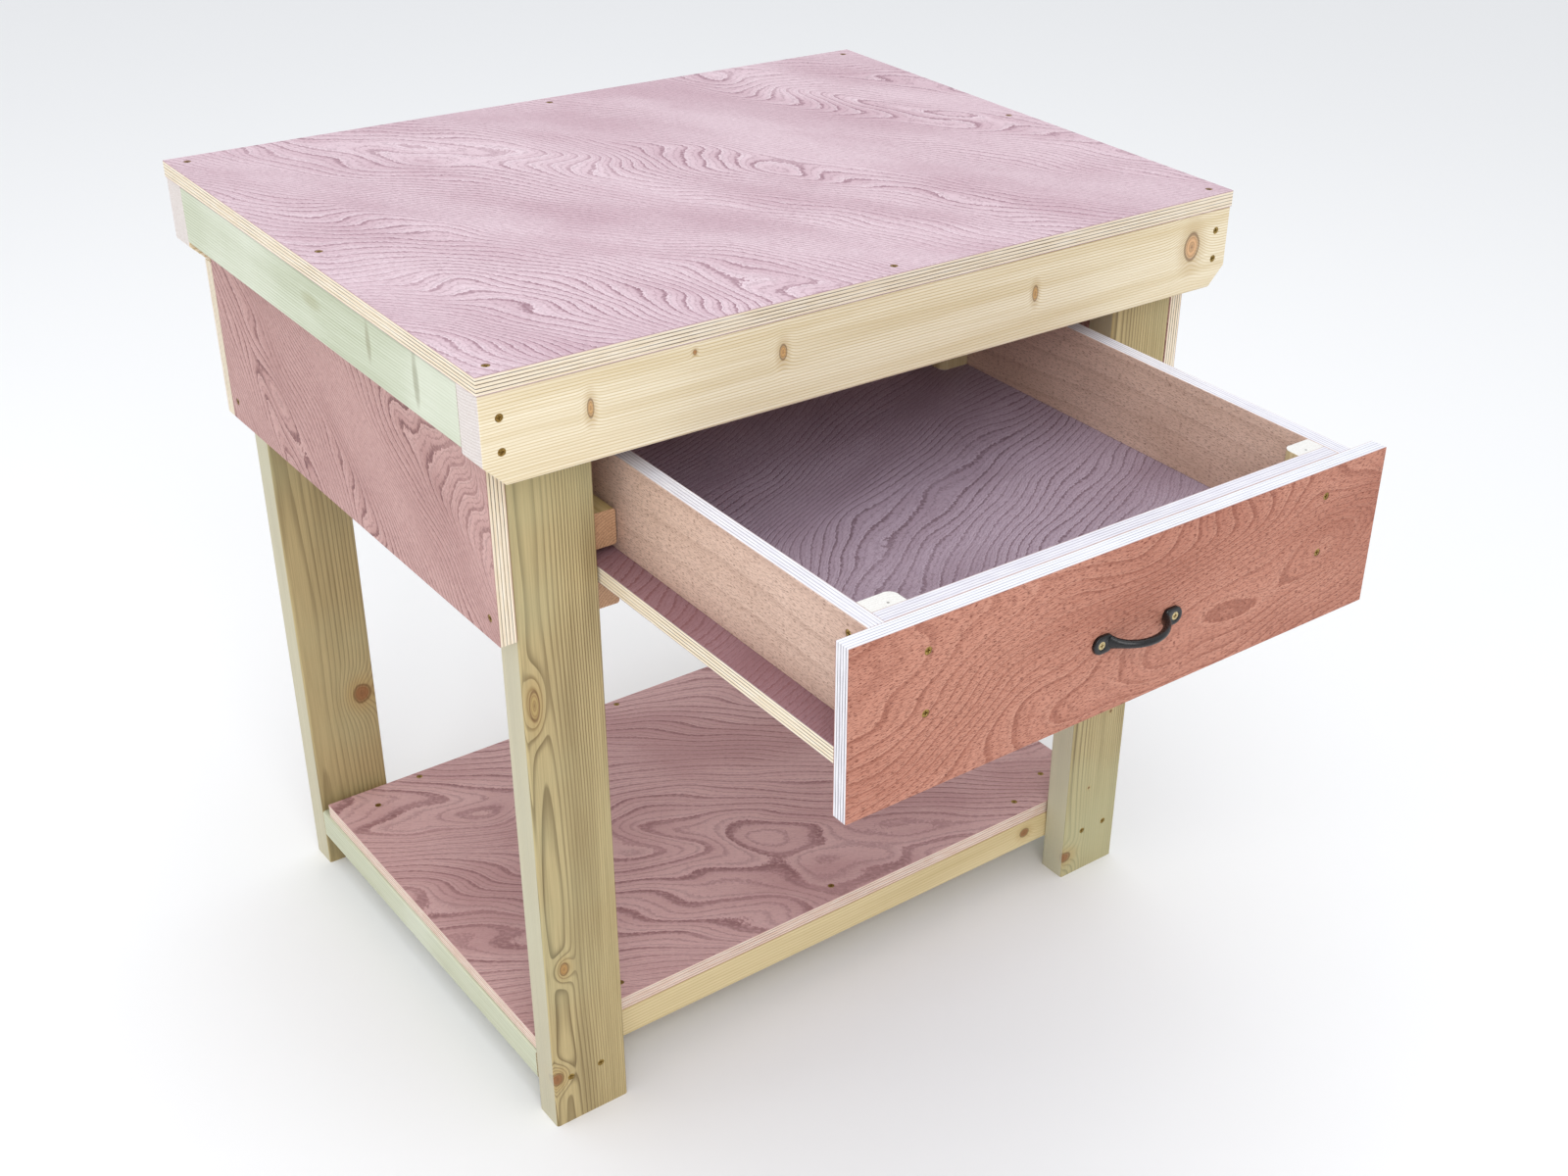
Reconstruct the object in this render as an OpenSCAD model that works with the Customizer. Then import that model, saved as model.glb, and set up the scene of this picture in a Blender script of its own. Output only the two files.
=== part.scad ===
// Potting bench: a plywood worktop on a softwood frame, with a low shelf and one drawer.
// Millimetres, +Z up. The origin is on the ground at the middle of the bench's outer box,
// the drawer's pull included. The front faces -Y, and the drawer is drawn part open.

/* [Worktop] */
// Width of the worktop, side to side
worktop_w = 914; // [800:1:1500]
// Depth of the worktop, front to back
worktop_d = 700; // [640:1:900]
// Height of the working surface above the ground
worktop_top_z = 910; // [860:1:1000]
// Overhang of the worktop past the frame on every side
worktop_lip = 1; // [1:1:10]
// Thickness of every plywood board
ply_t = 18; // [15:1:21]

/* [Frame timber] */
// Thickness of every framing timber
timber_t = 38; // [34:1:45]
// Height of the front and back beams, and width of the legs
beam_h = 89; // [80:1:100]
// Height of the side rails, and width of the shelf rails
rail_h = 63; // [50:1:70]
// Cut across the lower corner at each end of a beam
beam_cut = 22; // [5:1:30]
// Rounding along the long edges of a timber
arris_r = 3; // [1:0.5:5]
// Height of the lower edge of the side and back panels
panel_z = 621; // [400:1:700]

/* [Drawer runners] */
// Width of a runner
runner_w = 32; // [25:1:40]
// Height of the lower runner's underside
runner_z = 615; // [500:1:620]
// Height of the slot between the two runners
slot_h = 27; // [22:1:32]

/* [Shelf] */
// Height of the shelf frame's underside
shelf_z = 44; // [20:1:300]
// Gap between the shelf board and the front legs
shelf_gap = 2; // [1:1:10]
// Gap between the shelf board and the back legs
shelf_back_gap = 15; // [2:1:30]
// Gap between the side edges of the shelf board and the outside of its rails
shelf_inset = 3; // [0:1:10]

/* [Drawer] */
// How far the drawer is drawn out
drawer_open = 386; // [0:1:440]
// Depth of the drawer box, behind its outer front
drawer_box_d = 588; // [400:1:590]
// Height of the drawer's outer front
drawer_front_h = 171; // [120:1:175]
// Height of the drawer's sides above its bottom board
drawer_side_h = 101; // [60:1:105]
// Gap between the drawer and what it slides past
drawer_gap = 2; // [1:0.5:4]
// Length of a corner block along the drawer's front or back
block_w = 37; // [25:1:45]
// Thickness of a corner block
block_d = 21; // [15:1:30]
// Rounding of a corner block's inner edge
block_r = 10; // [4:1:12]

/* [Pull] */
// Distance between the pull's two screws
pull_spacing = 92; // [70:1:120]
// Distance from the drawer's face to the front of the bow
pull_reach = 27; // [20:1:40]
// Height of the pull's middle above the drawer front's lower edge
pull_rise = 77.5; // [60:0.5:110]
// Half the thickness of the bow
pull_bar_r = 4.5; // [3:0.5:6]
// Radius of the bow's curve
pull_bow_r = 40; // [35:1:45]
// Half the width of a foot
pull_foot_r = 9.25; // [8:0.25:12]
// Thickness of a foot
pull_foot_t = 4; // [2:0.5:5]
// Length of a foot from its screw towards the bow
pull_foot_l = 13; // [10:0.5:16]

/* [Screws] */
// Radius of a screw's head
head_r = 4; // [3:0.5:5]
// Radius of a screw's shank
shank_r = 2; // [1.5:0.25:2.5]
// Depth of a screw's head below the surface
sink = 0.6; // [0:0.1:1]

/* [Hidden] */
$fn = 48;

// Colours of the finishes
pine = "#cdbb90";
ply_face = "#cfa9a6";
drawer_ply = "#c68672";
zinc = "#b8a05c";
black = "#202022";

// Frame, left and right alike
half_w = worktop_w / 2;
frame_half_w = half_w - worktop_lip;
panel_in_x = frame_half_w - timber_t;         // leg's outer face
panel_out_x = panel_in_x + ply_t;
leg_in_x = panel_in_x - beam_h;
runner_in_x = leg_in_x - runner_w;

// Frame, front to back: the outer box runs from the open drawer's pull to the worktop's back edge
pull_front = worktop_lip + timber_t - drawer_open - pull_reach;
front_y = -(worktop_d + pull_front) / 2;
back_y = front_y + worktop_d;
beam_front_y = front_y + worktop_lip;
leg_front_y = beam_front_y + timber_t;
rail_front_y = leg_front_y + timber_t;        // back face of the front legs
beam_back_y = back_y - worktop_lip;
leg_back_y = beam_back_y - timber_t;          // back face of the back legs
rail_back_y = leg_back_y - timber_t;

// Frame heights
worktop_z = worktop_top_z - ply_t;
beam_z = worktop_z - beam_h;
rail_z = worktop_z - rail_h;
slot_z = runner_z + timber_t;
upper_runner_z = slot_z + slot_h;
shelf_board_z = shelf_z + timber_t;

// Drawer
front_half_w = leg_in_x - drawer_gap;
side_out_x = runner_in_x - drawer_gap;
side_in_x = side_out_x - ply_t;
bottom_z = slot_z + 0.5;
bottom_top_z = bottom_z + ply_t;
drawer_top_z = bottom_top_z + drawer_side_h;
front_z = drawer_top_z - drawer_front_h;
face_y = leg_front_y - drawer_open;
box_front_y = face_y + ply_t;
inner_front_y = box_front_y + ply_t;          // back face of the inner front
box_back_y = box_front_y + drawer_box_d;
back_board_y = box_back_y - ply_t;            // front face of the back board
runner_front_y = leg_front_y + ply_t + 1;

// Pull
pull_x = pull_spacing / 2;
pull_z = front_z + pull_rise;
bow_y = face_y - pull_reach + pull_bar_r + pull_bow_r;
bow_half_angle = acos((pull_bow_r + pull_bar_r - pull_reach - 0.5) / pull_bow_r);

// Fixings: each entry is [point on the surface, direction driven, length]
play = 0.1;                                   // gap between a fixing and its hole
recess_w = 1.2;
recess_l = 4.6;
nail_r = 1.2;
rail_mid_x = frame_half_w - timber_t / 2;
sides = [-1, 1];
down = [0, 0, -1];
rearward = [0, 1, 0];
forward = [0, -1, 0];

worktop_fixings = [
  for (x = [-rail_mid_x, 0, rail_mid_x], y = [front_y + 18, back_y - 18]) [[x, y, worktop_top_z], down, 35],
  for (x = [-rail_mid_x, rail_mid_x]) [[x, (front_y + back_y) / 2, worktop_top_z], down, 35]
];
beam_fixings = [
  for (x = [-rail_mid_x, rail_mid_x], z = [beam_z + 33, beam_z + 65]) each [
    [[x, beam_front_y, z], rearward, 90],
    [[x, beam_back_y, z], forward, 90]
  ]
];
leg_top_fixings = [
  for (s = sides, x = [leg_in_x + 30, leg_in_x + 60]) each [
    [[s * x, rail_front_y, beam_z + 47], forward, 70],
    [[s * x, rail_back_y, beam_z + 47], rearward, 70]
  ]
];
leg_foot_fixings = [
  for (s = sides, x = [leg_in_x + 31, leg_in_x + 68]) each [
    [[s * x, leg_front_y, shelf_z + timber_t / 2], rearward, 80],
    [[s * x, leg_back_y, shelf_z + timber_t / 2], forward, 80]
  ]
];
shelf_end_fixings = [
  for (x = [-leg_in_x + 34, 0, leg_in_x - 34], y = [rail_front_y + 25, rail_back_y - 25])
    [[x, y, shelf_board_z + ply_t], down, 40]
];
shelf_side_fixings = [
  for (s = sides, y = [rail_front_y + 52, rail_back_y - 52])
    [[s * (leg_in_x + 36), y, shelf_board_z + ply_t], down, 40]
];
side_panel_fixings = [
  for (s = sides, y = [leg_front_y + 16.5, leg_back_y - 16])
    [[s * panel_out_x, y, panel_z + 24], [-s, 0, 0], 40]
];
back_panel_fixings = [
  for (s = sides, z = [panel_z + 24, beam_z - 23])
    [[s * (leg_in_x + 41), leg_back_y + ply_t, z], forward, 40]
];
upper_runner_fixings = [
  for (s = sides, y = [runner_front_y + 9, rail_back_y + 19])
    [[s * runner_in_x, y, upper_runner_z + timber_t / 2], [s, 0, 0], 60]
];
lower_runner_fixings = [
  for (s = sides, y = [runner_front_y + 9, rail_back_y + 19])
    [[s * runner_in_x, y, runner_z + timber_t / 2], [s, 0, 0], 60]
];
drawer_front_fixings = [
  for (s = sides, z = [bottom_top_z + 10, drawer_top_z - 30])
    [[s * (side_in_x - 32), face_y, z], rearward, 34]
];
drawer_side_fixings = [
  for (s = sides, y = [box_front_y + 25, box_back_y - 25], z = [bottom_top_z + 28.5, drawer_top_z - 17.5])
    [[s * side_out_x, y, z], [-s, 0, 0], 35]
];
drawer_bottom_fixings = [
  for (s = sides, y = [box_front_y + 79, box_front_y + 294, box_back_y - 69])
    [[s * (side_out_x - ply_t / 2), y, bottom_z], [0, 0, 1], 45]
];
nail_fixings = [
  for (s = sides, y = [inner_front_y + 5, back_board_y - 7])
    [[s * (side_in_x - 21), y, drawer_top_z], down, 30]
];
pull_fixings = [
  for (s = sides) [[s * pull_x, face_y - pull_foot_t, pull_z], rearward, 21]
];

// Keeps the fixings on side s (-1 left, 1 right)
function beside(s, fixings) = [for (f = fixings) if (f[0].x * s > 0) f];
// Keeps the fixings in the front half (t = -1) or the back half (t = 1) of the frame
function along(t, fixings) = [for (f = fixings) if ((f[0].y - (front_y + back_y) / 2) * t > 0) f];
// Lower x of something of width w whose inner face is x away from the middle, on side s
function left_of(s, x, w) = s > 0 ? x : -x - w;
// Turns -Z to the driving direction
function turn(d) =
  d.z < 0 ? [0, 0, 0] : d.z > 0 ? [180, 0, 0] : d.y != 0 ? [90 * d.y, 0, 0] : [0, -90 * d.x, 0];

module aim(fixing) translate(fixing[0]) rotate(turn(fixing[1])) children();

// A countersunk screw with a crossed recess
module screw(length) {
  difference() {
    rotate_extrude() polygon([
      [0, -sink], [head_r, -sink], [shank_r, shank_r - head_r - sink],
      [shank_r, 2 * shank_r - length], [0, -length]
    ]);
    for (a = [0, 90]) rotate([0, 0, a]) translate([-recess_w / 2, -recess_l / 2, -sink - recess_w])
      cube([recess_w, recess_l, 2 * recess_w]);
  }
}

// The hole that the screw sits in
module screw_hole(length) {
  rotate_extrude() polygon([
    [0, 1], [head_r + play, 1], [head_r + play, -sink], [shank_r + play, shank_r - head_r - sink],
    [shank_r + play, 2 * shank_r - length], [0, -length - play]
  ]);
}

module drilled(fixings) {
  difference() {
    children();
    for (f = fixings) aim(f) screw_hole(f[2]);
  }
}

module screws(fixings) color(zinc) for (f = fixings) aim(f) screw(f[2]);

// The four nails, or their holes with a larger radius and some length above the surface
module nails(r, above) for (f = nail_fixings)
  aim(f) translate([0, 0, -f[2]]) cylinder(h = f[2] + above, r = r);

// A rectangle whose corners are quarter rounds
module eased_section(a, b) {
  union() {
    translate([arris_r, 0]) square([a - 2 * arris_r, b]);
    translate([0, arris_r]) square([a, b - 2 * arris_r]);
    for (x = [arris_r, a - arris_r], y = [arris_r, b - arris_r]) translate([x, y]) circle(r = arris_r);
  }
}

// Timbers with their length along z, x and y, from their lowest corner
module timber_z(low, size) translate(low) linear_extrude(size.z) eased_section(size.x, size.y);
module timber_x(low, size)
  translate(low) rotate([90, 0, 90]) linear_extrude(size.x) eased_section(size.y, size.z);
module timber_y(low, size)
  translate(low + [0, size.y, 0]) rotate([90, 0, 0]) linear_extrude(size.y) eased_section(size.x, size.z);

// Worktop

module worktop() {
  color(ply_face) drilled(worktop_fixings)
    translate([-half_w, front_y, worktop_z]) cube([worktop_w, worktop_d, ply_t]);
}

// Frame

module beam(y, t) {
  color(pine) drilled(along(t, concat(worktop_fixings, beam_fixings, leg_top_fixings)))
    difference() {
      timber_x([-frame_half_w, y, beam_z], [2 * frame_half_w, timber_t, beam_h]);
      for (s = sides) translate([s * frame_half_w, y + timber_t / 2, beam_z]) rotate([0, 45, 0])
        cube([beam_cut * sqrt(2), 2 * timber_t, beam_cut * sqrt(2)], center = true);
    }
}
module front_beam() beam(beam_front_y, -1);
module back_beam() beam(leg_back_y, 1);

module side_rail(s) {
  color(pine) drilled(beside(s, concat(worktop_fixings, beam_fixings)))
    timber_y([left_of(s, panel_in_x, timber_t), leg_front_y, rail_z],
      [timber_t, leg_back_y - leg_front_y, rail_h]);
}
module side_rail_left() side_rail(-1);
module side_rail_right() side_rail(1);

module leg(s, t, y) {
  color(pine)
    drilled(beside(s, along(t, concat(
      leg_top_fixings, leg_foot_fixings, side_panel_fixings, back_panel_fixings,
      upper_runner_fixings, lower_runner_fixings
    ))))
      timber_z([left_of(s, leg_in_x, beam_h), y, 0], [beam_h, timber_t, worktop_z]);
}
module leg_front_left() leg(-1, -1, leg_front_y);
module leg_front_right() leg(1, -1, leg_front_y);
module leg_back_left() leg(-1, 1, rail_back_y);
module leg_back_right() leg(1, 1, rail_back_y);

module side_panel(s) {
  color(ply_face) drilled(beside(s, side_panel_fixings))
    translate([left_of(s, panel_in_x, ply_t), leg_front_y, panel_z])
      cube([ply_t, leg_back_y - leg_front_y, rail_z - panel_z]);
}
module side_panel_left() side_panel(-1);
module side_panel_right() side_panel(1);

module back_panel() {
  color(ply_face) drilled(back_panel_fixings)
    translate([-panel_out_x, leg_back_y, panel_z]) cube([2 * panel_out_x, ply_t, beam_z - panel_z]);
}

// Drawer runners

module runner(s, z, fixings) {
  color(pine) drilled(beside(s, fixings))
    timber_y([left_of(s, runner_in_x, runner_w), runner_front_y, z],
      [runner_w, leg_back_y - runner_front_y, timber_t]);
}
module upper_runner_left() runner(-1, upper_runner_z, upper_runner_fixings);
module upper_runner_right() runner(1, upper_runner_z, upper_runner_fixings);
module lower_runner_left() runner(-1, runner_z, lower_runner_fixings);
module lower_runner_right() runner(1, runner_z, lower_runner_fixings);

// Shelf

module shelf_board() {
  color(ply_face) drilled(concat(shelf_end_fixings, shelf_side_fixings))
    translate([shelf_inset - panel_in_x, rail_front_y + shelf_gap, shelf_board_z])
      cube([2 * (panel_in_x - shelf_inset), rail_back_y - rail_front_y - shelf_gap - shelf_back_gap, ply_t]);
}

module shelf_cross_rail(y, t) {
  half = panel_in_x - rail_h;
  color(pine) drilled(along(t, shelf_end_fixings))
    timber_x([-half, y, shelf_z], [2 * half, rail_h, timber_t]);
}
module shelf_front_rail() shelf_cross_rail(rail_front_y, -1);
module shelf_back_rail() shelf_cross_rail(rail_back_y - rail_h, 1);

module shelf_side_rail(s) {
  color(pine) drilled(beside(s, concat(leg_foot_fixings, shelf_side_fixings)))
    timber_y([left_of(s, panel_in_x - rail_h, rail_h), rail_front_y, shelf_z],
      [rail_h, rail_back_y - rail_front_y, timber_t]);
}
module shelf_side_rail_left() shelf_side_rail(-1);
module shelf_side_rail_right() shelf_side_rail(1);

// Drawer

module drawer_front() {
  color(drawer_ply) drilled(concat(drawer_front_fixings, pull_fixings))
    translate([-front_half_w, face_y, front_z]) cube([2 * front_half_w, ply_t, drawer_front_h]);
}

module drawer_inner_front() {
  color(drawer_ply) drilled(drawer_front_fixings)
    translate([-side_in_x, box_front_y, bottom_top_z]) cube([2 * side_in_x, ply_t, drawer_side_h]);
}

module drawer_back() {
  color(drawer_ply)
    translate([-side_in_x, back_board_y, bottom_top_z]) cube([2 * side_in_x, ply_t, drawer_side_h]);
}

module drawer_side(s) {
  color(ply_face) drilled(beside(s, concat(drawer_side_fixings, drawer_bottom_fixings)))
    translate([left_of(s, side_in_x, ply_t), box_front_y, bottom_top_z])
      cube([ply_t, drawer_box_d, drawer_side_h]);
}
module drawer_side_left() drawer_side(-1);
module drawer_side_right() drawer_side(1);

// The bottom board's side edges stand out past the drawer's sides and slide between the runners
module drawer_bottom() {
  color(ply_face) drilled(drawer_bottom_fixings)
    translate([-front_half_w, box_front_y, bottom_z]) cube([2 * front_half_w, drawer_box_d, ply_t]);
}

// A corner block with its inner upright edge rounded; t is 1 at the drawer's front, -1 at its back
module corner_block(s, t, y) {
  near_side = beside(s, drawer_side_fixings);
  color(pine) drilled([for (f = near_side) if (abs(f[0].y - y) < block_d) f])
    difference() {
      translate([s * side_in_x, y, bottom_top_z]) mirror([s > 0 ? 1 : 0, 0, 0])
        mirror([0, t < 0 ? 1 : 0, 0]) linear_extrude(drawer_side_h) union() {
          square([block_w - block_r, block_d]);
          square([block_w, block_d - block_r]);
          translate([block_w - block_r, block_d - block_r]) circle(r = block_r);
        }
      nails(nail_r + play, 1);
    }
}
module drawer_block_front_left() corner_block(-1, 1, inner_front_y);
module drawer_block_front_right() corner_block(1, 1, inner_front_y);
module drawer_block_back_left() corner_block(-1, -1, back_board_y);
module drawer_block_back_right() corner_block(1, -1, back_board_y);

// The pull: a bow bent to an arc between two flat feet
module drawer_pull() {
  color(black) drilled(pull_fixings)
    difference() {
      union() {
        translate([0, bow_y, pull_z]) rotate([0, 0, -90 - bow_half_angle])
          rotate_extrude(angle = 2 * bow_half_angle) translate([pull_bow_r, 0]) circle(r = pull_bar_r);
        for (s = sides) translate([s * pull_x, face_y, pull_z]) rotate([90, 0, 0])
          linear_extrude(pull_foot_t) union() {
            circle(r = pull_foot_r);
            translate([s > 0 ? -pull_foot_l : 0, -pull_foot_r]) square([pull_foot_l, 2 * pull_foot_r]);
          }
      }
      translate([-pull_spacing, face_y, pull_z - pull_x]) cube([2 * pull_spacing, pull_bow_r, pull_spacing]);
    }
}

// Screws and nails

module worktop_screws() screws(worktop_fixings);
module beam_screws() screws(beam_fixings);
module leg_top_screws() screws(leg_top_fixings);
module leg_foot_screws() screws(leg_foot_fixings);
module shelf_board_screws() screws(concat(shelf_end_fixings, shelf_side_fixings));
module side_panel_screws() screws(side_panel_fixings);
module back_panel_screws() screws(back_panel_fixings);
module runner_screws() screws(concat(upper_runner_fixings, lower_runner_fixings));
module drawer_front_screws() screws(drawer_front_fixings);
module drawer_side_screws() screws(drawer_side_fixings);
module drawer_bottom_screws() screws(drawer_bottom_fixings);
module drawer_block_nails() color(zinc) nails(nail_r, 0);
module pull_screws() screws(pull_fixings);

worktop();
front_beam();
back_beam();
side_rail_left();
side_rail_right();
leg_front_left();
leg_front_right();
leg_back_left();
leg_back_right();
side_panel_left();
side_panel_right();
back_panel();
upper_runner_left();
upper_runner_right();
lower_runner_left();
lower_runner_right();
shelf_board();
shelf_front_rail();
shelf_back_rail();
shelf_side_rail_left();
shelf_side_rail_right();
drawer_front();
drawer_inner_front();
drawer_back();
drawer_side_left();
drawer_side_right();
drawer_bottom();
drawer_block_front_left();
drawer_block_front_right();
drawer_block_back_left();
drawer_block_back_right();
drawer_pull();
worktop_screws();
beam_screws();
leg_top_screws();
leg_foot_screws();
shelf_board_screws();
side_panel_screws();
back_panel_screws();
runner_screws();
drawer_front_screws();
drawer_side_screws();
drawer_bottom_screws();
drawer_block_nails();
pull_screws();
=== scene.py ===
"""A potting bench: plywood boards on a softwood frame, with a drawer that slides in timber runners.

Metres, +Z up, the bench's front facing -Y. Every piece but the pull keeps its shape from the frame. The
boards, the two beams and the drawer's blocks get their edges eased. The pull is modelled here as one
forged shape.
"""
import math

import bmesh
import bpy
import numpy as np
from mathutils import Euler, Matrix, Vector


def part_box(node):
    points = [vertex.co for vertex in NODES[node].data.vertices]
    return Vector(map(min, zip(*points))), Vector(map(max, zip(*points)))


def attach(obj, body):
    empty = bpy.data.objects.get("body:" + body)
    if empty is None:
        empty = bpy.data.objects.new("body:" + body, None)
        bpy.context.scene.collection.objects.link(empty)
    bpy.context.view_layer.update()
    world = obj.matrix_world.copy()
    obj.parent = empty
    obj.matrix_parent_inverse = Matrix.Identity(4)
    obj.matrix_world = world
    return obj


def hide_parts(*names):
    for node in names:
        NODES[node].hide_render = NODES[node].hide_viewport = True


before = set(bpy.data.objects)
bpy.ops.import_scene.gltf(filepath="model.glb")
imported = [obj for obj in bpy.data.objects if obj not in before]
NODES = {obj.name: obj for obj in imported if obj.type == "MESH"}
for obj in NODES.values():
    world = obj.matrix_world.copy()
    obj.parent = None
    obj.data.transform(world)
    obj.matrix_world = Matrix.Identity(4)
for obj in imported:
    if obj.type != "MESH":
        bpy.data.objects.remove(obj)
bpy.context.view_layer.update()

# --- Camera, floor and light ------------------------------------------------------------------------

CAMERA_PLACE = (-1.1159, -1.5312, 1.5583)
CAMERA_TURN = (58.962, -2.069, -38.786)      # degrees about X, Y and Z
CAMERA_LENS = 44.22                          # mm, on a 36 mm sensor
CAMERA_SHIFT = (-0.0847, 0.0339)
FLOOR_SIDE = 160.0


def make_camera():
    """The camera, standing in front of the bench's left corner and above it."""
    data = bpy.data.cameras.new("camera")
    data.lens = CAMERA_LENS
    data.sensor_width = 36.0
    data.shift_x, data.shift_y = CAMERA_SHIFT
    camera = bpy.data.objects.new("camera", data)
    camera.location = CAMERA_PLACE
    camera.rotation_euler = Euler([math.radians(a) for a in CAMERA_TURN], "XYZ")
    bpy.context.scene.collection.objects.link(camera)
    bpy.context.scene.camera = camera


def make_light(name, place, target, size, power):
    """A square soft box that faces the target point."""
    data = bpy.data.lights.new(name, "AREA")
    data.size = size
    data.energy = power
    light = bpy.data.objects.new(name, data)
    light.location = place
    aim = np.array(target, float) - np.array(place, float)
    flat = math.hypot(aim[0], aim[1])
    light.rotation_euler = Euler((math.atan2(flat, -aim[2]), 0.0, math.atan2(-aim[0], aim[1])), "XYZ")
    bpy.context.scene.collection.objects.link(light)


def make_studio():
    """A pale floor, an even sky close to white and three soft boxes."""
    bpy.ops.mesh.primitive_plane_add(size=FLOOR_SIDE)
    floor = bpy.context.object
    floor.name = "floor"
    paint = Paint("floor_white")
    paint.set("Base Color", (0.93, 0.93, 0.93, 1.0))
    paint.set("Roughness", 0.9)
    floor.data.materials.append(paint.material)
    world = bpy.data.worlds.new("sky")
    world.use_nodes = True
    sky = world.node_tree.nodes["Background"]
    sky.inputs["Color"].default_value = (0.95, 0.97, 1.0, 1.0)
    sky.inputs["Strength"].default_value = 0.85
    bpy.context.scene.world = world
    make_light("key", (-1.6, -3.2, 3.2), (0.0, 0.0, 0.5), 2.5, 60.0)
    make_light("overhead", (0.3, 0.4, 3.6), (0.0, 0.1, 0.6), 3.0, 30.0)
    make_light("side", (-3.4, 0.6, 1.8), (0.0, 0.2, 0.5), 2.0, 18.0)
    bpy.context.scene.view_settings.view_transform = "Standard"


# --- Building materials -----------------------------------------------------------------------------

PLANE_FADE = 0.0004                          # how deep below a face its look has faded out
FACE_AXES = ((1, 2), (0, 2), (0, 1))         # the two axes that lie in a face whose normal is X, Y or Z


def colour(code):
    """A colour written as #rrggbb, made linear."""
    parts = [int(code[i:i + 2], 16) / 255 for i in (1, 3, 5)]
    return tuple(p / 12.92 if p <= 0.04045 else ((p + 0.055) / 1.055) ** 2.4 for p in parts) + (1.0,)


class Paint:
    """A material whose node tree is built by short calls, which return what they work out as a socket."""

    def __init__(self, name):
        self.material = bpy.data.materials.new(name)
        self.material.use_nodes = True
        self.tree = self.material.node_tree
        self.shader = self.tree.nodes["Principled BSDF"]
        self.place = self.tree.nodes.new("ShaderNodeTexCoord").outputs["Object"]

    def set(self, name, value):
        """Sets or links one of the shader's inputs."""
        self.feed(self.shader.inputs[name], value)

    def feed(self, socket, value):
        """Links a socket to an input, or sets the input to a plain value."""
        if isinstance(value, bpy.types.NodeSocket):
            self.tree.links.new(value, socket)
        else:
            socket.default_value = value

    def maths(self, operation, *values):
        """One step of arithmetic."""
        node = self.tree.nodes.new("ShaderNodeMath")
        node.operation = operation
        for socket, value in zip(node.inputs, values):
            self.feed(socket, value)
        return node.outputs[0]

    def add(self, a, b):
        return self.maths("ADD", a, b)

    def less(self, a, b):
        return self.maths("SUBTRACT", a, b)

    def times(self, a, b):
        return self.maths("MULTIPLY", a, b)

    def span(self, a, b):
        """The distance between a and b, always positive."""
        return self.maths("ABSOLUTE", self.less(a, b))

    def fraction(self, a):
        """What is left of a above the whole number below it."""
        return self.maths("FRACT", a)

    def axes(self):
        """The three parts of the object's own coordinates."""
        node = self.tree.nodes.new("ShaderNodeSeparateXYZ")
        self.feed(node.inputs[0], self.place)
        return list(node.outputs)

    def vector(self, x, y, z):
        node = self.tree.nodes.new("ShaderNodeCombineXYZ")
        for socket, value in zip(node.inputs, (x, y, z)):
            self.feed(socket, value)
        return node.outputs[0]

    def noise(self, vector, scale=1.0, detail=2.0, roughness=0.5):
        """Smooth noise from 0 to 1."""
        node = self.tree.nodes.new("ShaderNodeTexNoise")
        self.feed(node.inputs["Vector"], vector)
        node.inputs["Scale"].default_value = scale
        node.inputs["Detail"].default_value = detail
        node.inputs["Roughness"].default_value = roughness
        return node.outputs[0]

    def ease(self, value, low, high, start=0.0, end=1.0):
        """A smooth step from start to end as value goes from low to high."""
        node = self.tree.nodes.new("ShaderNodeMapRange")
        node.interpolation_type = "SMOOTHSTEP"
        for socket, number in zip(node.inputs, (value, low, high, start, end)):
            self.feed(socket, number)
        return node.outputs[0]

    def near(self, position, plane, share=1.0):
        """share at a plane and beyond it, fading to 0 just before it."""
        return self.ease(position, plane - PLANE_FADE, plane - PLANE_FADE / 4, 0.0, share)

    def on_planes(self, position, low, high):
        """1 on the two planes where position is low or high, fading to 0 just inside them."""
        return self.near(self.span(position, (low + high) / 2), (high - low) / 2)

    def egg(self, coordinates, place, sizes):
        """The squared distance from place, measured so that it is 1 on an egg with those half sizes."""
        away = [self.times(self.less(c, p), 1.0 / r) for c, p, r in zip(coordinates, place, sizes)]
        x_square, y_square, z_square = [self.times(a, a) for a in away]
        return self.add(self.add(x_square, y_square), z_square)

    def mix(self, share, a, b):
        """Colour a going over to colour b."""
        node = self.tree.nodes.new("ShaderNodeMix")
        node.data_type = "RGBA"
        self.feed(node.inputs["Factor"], share)
        self.feed(node.inputs[6], a)
        self.feed(node.inputs[7], b)
        return node.outputs[2]

    def bump(self, height, depth):
        """A normal bent by a height, in metres of relief at full height."""
        node = self.tree.nodes.new("ShaderNodeBump")
        node.inputs["Distance"].default_value = depth
        self.feed(node.inputs["Height"], height)
        self.set("Normal", node.outputs[0])


# --- Plywood ----------------------------------------------------------------------------------------

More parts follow.
